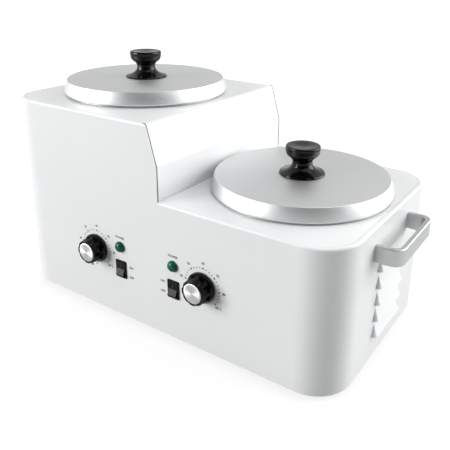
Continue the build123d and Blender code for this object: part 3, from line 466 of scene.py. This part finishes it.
# Plain white where it is seen. As a light it is bright to both sides, softer behind and above, and dark
# towards one fixed side, front right, which is also where the main camera is.
room = {
    "seen": 1.1, "bright": 1.15, "dark": 0.03, "darkTowards": (0.62, -0.79, 0.1), "from": 0.0, "to": 0.85,
    "behindLoss": 0.55, "behindLossAbove": 0.1, "behindFrom": -0.9, "behindTo": -0.1,
    "horizon": 1.15, "above": 0.65, "aboveFrom": 0.5,
}


def makeRoom():
    world = bpy.data.worlds.new("room")
    bpy.context.scene.world = world
    world.use_nodes = True
    tree = world.node_tree
    towards = addNode(tree, "ShaderNodeVectorMath", operation="DOT_PRODUCT")
    direction = addNode(tree, "ShaderNodeTexCoord").outputs["Generated"]
    tree.links.new(direction, towards.inputs[0])
    towards.inputs[1].default_value = Vector(room["darkTowards"]).normalized()
    front = addRange(tree, towards.outputs["Value"], room["from"], room["to"], room["bright"], room["dark"])
    height = addNode(tree, "ShaderNodeSeparateXYZ")
    tree.links.new(direction, height.inputs[0])
    back = addRange(tree, towards.outputs["Value"], room["behindFrom"], room["behindTo"], 1.0, 0.0)
    loss = addRange(
        tree, height.outputs["Z"], 0.0, room["aboveFrom"], room["behindLoss"], room["behindLossAbove"],
    )
    kept = addMath(tree, "SUBTRACT", 1.0, addMath(tree, "MULTIPLY", back, loss))
    band = addRange(tree, height.outputs["Z"], 0.0, room["aboveFrom"], room["horizon"], room["above"])
    light = addMath(tree, "MULTIPLY", addMath(tree, "MULTIPLY", front, kept), band)
    cameraRay = addNode(tree, "ShaderNodeLightPath").outputs["Is Camera Ray"]
    seen = addMath(tree, "MULTIPLY", cameraRay, room["seen"])
    tree.links.new(addMath(tree, "MAXIMUM", light, seen), tree.nodes["Background"].inputs["Strength"])
    tree.nodes["Background"].inputs["Color"].default_value = (1, 1, 1, 1)


floor = {
    "size": 30.0, "shade": 0.25, "near": 0.35, "far": 1.2, "glowNear": 0.76, "glowFar": 1.0, "mirrored": 0.65,
}


def makeFloor():
    bpy.ops.object.select_all(action="DESELECT")
    bpy.ops.mesh.primitive_plane_add(size=floor["size"])
    piece = bpy.context.object
    piece.name = "floor"
    material, tree, shader = newMaterial("floorPaper", {
        "Base Color": tinted((1, 1, 1), floor["shade"]), "Roughness": 0.9, "Emission Color": (1, 1, 1, 1),
    })
    distance = addNode(tree, "ShaderNodeVectorMath", operation="LENGTH")
    tree.links.new(objectPlace(tree), distance.inputs[0])
    glow = addRange(
        tree, distance.outputs["Value"], floor["near"], floor["far"], floor["glowNear"], floor["glowFar"],
    )
    path = addNode(tree, "ShaderNodeLightPath")
    mirrored = addMath(tree, "MULTIPLY", path.outputs["Is Glossy Ray"], floor["mirrored"])
    shown = addMath(tree, "MAXIMUM", path.outputs["Is Camera Ray"], mirrored)
    tree.links.new(addMath(tree, "MULTIPLY", glow, shown), shader.inputs["Emission Strength"])
    piece.data.materials.append(material)


makeCamera()
for name, box in softboxes.items():
    makeSoftbox(name, box)
makeRoom()
makeFloor()
bpy.context.scene.view_settings.view_transform = "Standard"
bpy.context.scene.view_settings.look = "None"
print("stage: camera, lights and floor")


# CAD nodes that stay, with their finishes

def giveMaterial(node, material):
    nodes[node].data.materials.clear()
    nodes[node].data.materials.append(material)


for node in nodes:
    if slotOf[node] in slotMaterials:
        giveMaterial(node, slotMaterials[slotOf[node]])

# The pots' aluminium is set far darker than the lids. Only each pot's rim shows, under its lid, so this
# darkness is painted shade: the dark shadow line under each lid.
spunPot = {"colour": (0.42, 0.43, 0.435), "rough": 0.3, "lines": 2500.0, "depth": 0.00002}
drawnWell = {"colour": (0.5, 0.5, 0.51), "rough": 0.34, "lines": 1500.0, "depth": 0.00003}

for side in sides:
    giveMaterial(side + "_pot", turnedMaterial(side + "PotAluminium", spunPot, potAxis(side)))
    giveMaterial(side + "_well", turnedMaterial(side + "WellSteel", drawnWell, potAxis(side)))
    giveMaterial(side + "_lid_knob", knobMaterial)
    giveMaterial(side + "_dial_knob", dialMaterial)
print("CAD nodes: finishes given")


# Lids: spun dish with a bevelled rim, and the ring below that centres it

lid = {
    "rim": 0.097, "top": 0.0932, "height": 0.015, "sheet": 0.0018, "rimHeight": 0.0024, "ringInside": 0.079,
    "ringOutside": 0.0805, "edge": 0.0007, "steps": 192,
}
lidSatin = {
    "colour": (0.7, 0.71, 0.715), "contrast": 0.02, "rough": 0.36, "roughSpread": 0.24, "grains": 900.0,
    "depth": 0.00016,
}
lidMaterial = blastMaterial("lidSatinAluminium", lidSatin)


def makeLid(side):
    low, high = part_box(side + "_lid")
    seat = high.z - lid["height"]
    under = high.z - lid["sheet"]
    wallIn = lid["rim"] - 2 * lid["sheet"]
    piece = turnPiece([
        (0, high.z), (lid["top"], high.z), (lid["rim"], seat + lid["rimHeight"]), (lid["rim"], seat),
        (wallIn, seat), (wallIn, seat + lid["rimHeight"]), (lid["top"] - lid["sheet"], under),
        (lid["ringOutside"], under), (lid["ringOutside"], low.z), (lid["ringInside"], low.z),
        (lid["ringInside"], under), (0, under),
    ], lid["steps"])
    roundEdges(piece, lid["edge"])
    piece.location = potAxis(side)
    finishPiece(piece, side + "Lid", side + "_lid", lidMaterial, [side + "_lid"])


for side in sides:
    makeLid(side)
print("lids: turned")


# Dial caps: thin spun discs in the knobs' faces

dialCap = {"edge": 0.0004, "bevel": 0.0012, "steps": 96}
capSilver = {
    "colour": (0.62, 0.62, 0.63), "rough": 0.42, "lines": 9000.0, "depth": 0.00004,
    "sockets": {"Anisotropic": 0.7},
}


def makeDialCap(side):
    middle, size = sizesOf(side + "_dial_cap")
    rim, depth = size.x / 2, size.y
    piece = turnPiece([
        (0, 0), (rim, 0), (rim, depth - dialCap["edge"]), (rim - dialCap["bevel"], depth), (0, depth),
    ], dialCap["steps"])
    roundEdges(piece, dialCap["edge"] / 3, 2, 15)
    piece.rotation_euler = (pi / 2, 0, 0)
    piece.location = (middle.x, middle.y + depth / 2, middle.z)
    silver = turnedMaterial(side + "CapSilver", capSilver, middle, (pi / 2, 0, 0))
    tree = silver.node_tree
    around = addNode(tree, "ShaderNodeTangent", direction_type="RADIAL", axis="Y")
    tree.links.new(around.outputs["Tangent"], tree.nodes["Principled BSDF"].inputs["Tangent"])
    finishPiece(piece, side + "DialCap", side + "_dial", silver, [side + "_dial_cap"])


for side in sides:
    makeDialCap(side)
print("dial caps: turned")


# Lamps: low green domes on a rim

lamp = {"rim": 0.0012, "step": 0.0005, "rings": 8, "steps": 64}
lampGreen = {
    "colour": (0.0, 0.09, 0.042), "contrast": 0.25, "rough": 0.14, "texture": 260.0, "depth": 0.0004,
    "sockets": {"Specular IOR Level": 0.25},
}
lampMaterial = skinMaterial("lampGreen", lampGreen)


def makeLampLens(side):
    middle, size = sizesOf(side + "_lamp_lens")
    rim, depth = size.x / 2, size.y
    domeRadius = rim - lamp["step"]
    domeFoot = lamp["rim"] + lamp["step"]
    dome = domeCorners(domeRadius, domeFoot, depth, lamp["rings"])
    piece = turnPiece([(0, 0), (rim, 0), (rim, lamp["rim"])] + dome, lamp["steps"])
    piece.rotation_euler = (pi / 2, 0, 0)
    piece.location = (middle.x, middle.y + depth / 2, middle.z)
    finishPiece(piece, side + "LampLens", "housing", lampMaterial, [side + "_lamp_lens"])


for side in sides:
    makeLampLens(side)
print("lamps: domed lenses")


# Print on the front panel: dial scales, switch words and lamp words

scalePrint = {
    "ring": 0.0212, "bigDot": 0.001, "smallDot": 0.00064, "offDot": 0.001, "between": 3,
    "numbers": ("40", "50", "60", "70", "80", "90°C"), "numberRing": 0.0268, "numberSize": 0.0038,
    "first": 171.0, "pitch": 42.4, "off": -96.0, "offWord": -113.0,
}
switchPrint = {"aside": 0.0148, "onRise": 0.0052, "offDrop": 0.0068, "powerRise": 0.0108, "size": 0.0037}
inkThick = 0.00004
inkBold = 0.0001
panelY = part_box("housing_shell")[0].y


def printDot(x, z, radius):
    bpy.ops.object.select_all(action="DESELECT")
    bpy.ops.mesh.primitive_circle_add(
        vertices=20, radius=radius, fill_type="NGON", location=(x, panelY - inkThick, z),
        rotation=(pi / 2, 0, 0),
    )
    return bpy.context.object


def printWord(word, x, z, size):
    bpy.ops.object.select_all(action="DESELECT")
    bpy.ops.object.text_add(location=(x, panelY - inkThick, z), rotation=(pi / 2, 0, 0))
    text = bpy.context.object
    text.data.body = word
    text.data.size = size
    text.data.align_x = "CENTER"
    text.data.align_y = "CENTER"
    text.data.resolution_u = 3
    text.data.offset = inkBold
    bpy.ops.object.convert(target="MESH")
    return bpy.context.object


def makeDialPrint(side):
    dial = sizesOf(side + "_dial_cap")[0]

    def around(degrees, radius):
        return dial.x + radius * cos(radians(degrees)), dial.z + radius * sin(radians(degrees))

    marks = []
    steps = scalePrint["between"] + 1
    for index in range((len(scalePrint["numbers"]) - 1) * steps + 1):
        place = around(scalePrint["first"] - index * scalePrint["pitch"] / steps, scalePrint["ring"])
        marks.append(printDot(*place, scalePrint["smallDot" if index % steps else "bigDot"]))
    for index, number in enumerate(scalePrint["numbers"]):
        place = around(scalePrint["first"] - index * scalePrint["pitch"], scalePrint["numberRing"])
        marks.append(printWord(number, *place, scalePrint["numberSize"]))
    marks.append(printDot(*around(scalePrint["off"], scalePrint["ring"]), scalePrint["offDot"]))
    place = around(scalePrint["offWord"], scalePrint["numberRing"])
    marks.append(printWord("OFF", *place, scalePrint["numberSize"]))
    finishPiece(joinPieces(marks), side + "DialPrint", "housing", inkMaterial)


def makeSwitchPrint(side):
    switch = sizesOf(side + "_switch_housing")[0]
    lens = sizesOf(side + "_lamp_lens")[0]
    x = switch.x + (switchPrint["aside"] if side == "left" else -switchPrint["aside"])
    words = [
        printWord("ON", x, switch.z + switchPrint["onRise"], switchPrint["size"]),
        printWord("OFF", x, switch.z - switchPrint["offDrop"], switchPrint["size"]),
        printWord("POWER", lens.x, lens.z + switchPrint["powerRise"], switchPrint["size"]),
    ]
    finishPiece(joinPieces(words), side + "SwitchPrint", "housing", inkMaterial)


for side in sides:
    makeDialPrint(side)
    makeSwitchPrint(side)
print("print: scales and switch words")


# Pan-head screws with a cross recess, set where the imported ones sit

screwKinds = {
    "inlet_screws": {"head": 0.0018, "shank": 0.00145, "turn": (-pi / 2, 0, 0), "along": 1},
    "base_screws": {"head": 0.0018, "shank": 0.00145, "turn": (pi, 0, 0), "along": 2},
    "foot_screws": {"head": 0.0024, "shank": 0.00195, "turn": (pi, 0, 0), "along": 2},
}
screwShape = {
    "domeRings": 5, "steps": 40, "straight": 0.35, "cross": 1.15, "slot": 0.0008, "deep": 0.55,
    "point": 0.0004,
}


# Boxes of the separate solids in one CAD node
def looseBoxes(node):
    copyOf(nodes[node])
    bpy.ops.object.mode_set(mode="EDIT")
    bpy.ops.mesh.select_all(action="SELECT")
    bpy.ops.mesh.remove_doubles(threshold=mergeWithin)
    bpy.ops.mesh.separate(type="LOOSE")
    bpy.ops.object.mode_set(mode="OBJECT")
    boxes = []
    for part in list(bpy.context.selected_objects):
        corners = [part.matrix_world @ vertex.co for vertex in part.data.vertices]
        low = Vector([min(corner[axis] for corner in corners) for axis in range(3)])
        high = Vector([max(corner[axis] for corner in corners) for axis in range(3)])
        boxes.append((low, high))
        bpy.data.objects.remove(part)
    return boxes


def makeScrew(radius, length, kind):
    head, shank = kind["head"], kind["shank"]
    straight = head * screwShape["straight"]
    profile = [
        (0, head - length), (shank - screwShape["point"], head - length),
        (shank, head - length + screwShape["point"]), (shank, 0), (radius, 0),
    ]
    profile += domeCorners(radius, straight, head, screwShape["domeRings"])
    piece = turnPiece(profile, screwShape["steps"])
    for turn in (0, pi / 2):
        bpy.ops.object.select_all(action="DESELECT")
        bpy.ops.mesh.primitive_cube_add(size=1, location=(0, 0, head), rotation=(0, 0, turn))
        blade = bpy.context.object
        blade.scale = (radius * screwShape["cross"], screwShape["slot"], 2 * head * screwShape["deep"])
        placeInMesh(blade)
        cutAway(piece, blade)
    return piece


def makeScrews(node):
    kind = screwKinds[node]
    along = kind["along"]
    copies = []
    for low, high in looseBoxes(node):
        size, middle = high - low, (low + high) / 2
        screw = makeScrew(size[0] / 2, size[along], kind)
        screw.rotation_euler = kind["turn"]
        seat = high[along] - kind["head"] if along == 1 else low[along] + kind["head"]
        middle[along] = seat
        screw.location = middle
        copies.append(screw)
    piece = joinPieces(copies)
    slot = slotOf[node]
    finishPiece(piece, node.split("_")[0] + "Screws", "housing", slotMaterials[slot], [node], 30)


for node in screwKinds:
    makeScrews(node)
print("screws: cross recesses cut")


# Raised signs on the rockers: a bar on the pressed half and a ring on the other

rockerSign = {
    "barSize": (0.0006, 0.0028, 0.0003), "barAt": (0.00425, 0.00165), "ringAt": (-0.00276, 0.00301),
    "ringRadius": 0.0013, "ringTube": 0.00022, "ringTilt": radians(22), "sink": 0.00012,
}
# The signs are moulded in the rockers' own black plastic; their lighter grey is painted sheen, the light
# caught by the raised marks. Their higher roughness is the moulded texture.
signSheenGrey = {"colour": (0.07, 0.07, 0.07), "contrast": 0.1, "rough": 0.5, "texture": 1500.0, "depth": 0.000008}
signMaterial = skinMaterial("rockerSign", signSheenGrey)


def makeRockerSigns(side):
    switch = sizesOf(side + "_switch_housing")[0]
    up, out = rockerSign["barAt"]
    bpy.ops.object.select_all(action="DESELECT")
    place = (switch.x, panelY - out + rockerSign["sink"] / 2, switch.z + up)
    bpy.ops.mesh.primitive_cube_add(size=1, location=place)
    bar = bpy.context.object
    width, height, thick = rockerSign["barSize"]
    bar.scale = (width, thick, height)
    placeInMesh(bar)
    roundEdges(bar, thick / 4, 2)
    up, out = rockerSign["ringAt"]
    bpy.ops.object.select_all(action="DESELECT")
    bpy.ops.mesh.primitive_torus_add(
        major_radius=rockerSign["ringRadius"], minor_radius=rockerSign["ringTube"], major_segments=40,
        minor_segments=10, location=(switch.x, panelY - out + rockerSign["sink"] / 2, switch.z + up),
        rotation=(pi / 2 - rockerSign["ringTilt"], 0, 0),
    )
    ring = bpy.context.object
    finishPiece(joinPieces([bar, ring]), side + "RockerSigns", side + "_rocker", signMaterial)


for side in sides:
    makeRockerSigns(side)
print("rockers: signs raised")


# Painted shade: a dark strip laid in the open joint between the cover's bent strip and the walls before and
# behind it, standing in for the shadow in that gap

stepSeam = {
    "foot": 0.1948, "run": 0.012, "width": 0.0012, "thick": 0.0004, "sheet": 0.0012, "bend": 0.004,
    "bendFrom": 15.6, "bendSteps": 6,
}
# Near-black grey for these strips: painted shade of the gap, not a colour the joint has
seamShadeGrey = {
    "colour": (0.06, 0.062, 0.062), "contrast": 0.2, "rough": 0.6, "texture": 1200.0, "depth": 0.00002,
}
seamShadeMaterial = skinMaterial("seamShadeGrey", seamShadeGrey)


def makeSeamShade(name, y):
    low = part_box("low_deck")[1].z
    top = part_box("high_cover")[1].z
    run, bend = stepSeam["run"], stepSeam["bend"]
    first = radians(stepSeam["bendFrom"])
    back = bend * tan((pi / 2 - first) / 2)
    path = [(run, low), (run, stepSeam["foot"])]
    for index in range(stepSeam["bendSteps"] + 1):
        turn = first + (pi / 2 - first) * index / stepSeam["bendSteps"]
        path.append((bend * cos(turn) - back, top - bend + bend * sin(turn)))
    piece = drawWire(path, y)
    bpy.ops.mesh.extrude_region_move(TRANSFORM_OT_translate={"value": (0, stepSeam["width"], 0)})
    bpy.ops.object.mode_set(mode="OBJECT")
    applyModifier(piece, "SOLIDIFY", {"thickness": stepSeam["thick"], "offset": 0, "use_even_offset": True})
    bpy.ops.object.mode_set(mode="EDIT")
    bpy.ops.mesh.select_all(action="SELECT")
    bpy.ops.mesh.normals_make_consistent(inside=False)
    bpy.ops.object.mode_set(mode="OBJECT")
    finishPiece(piece, name, "housing", seamShadeMaterial)


seamInset = stepSeam["sheet"] - stepSeam["width"] / 4
makeSeamShade("frontSeamShade", panelY + seamInset)
makeSeamShade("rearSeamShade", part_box("high_cover")[1].y - stepSeam["width"] / 2)
print("seams: laid along the slope and step")
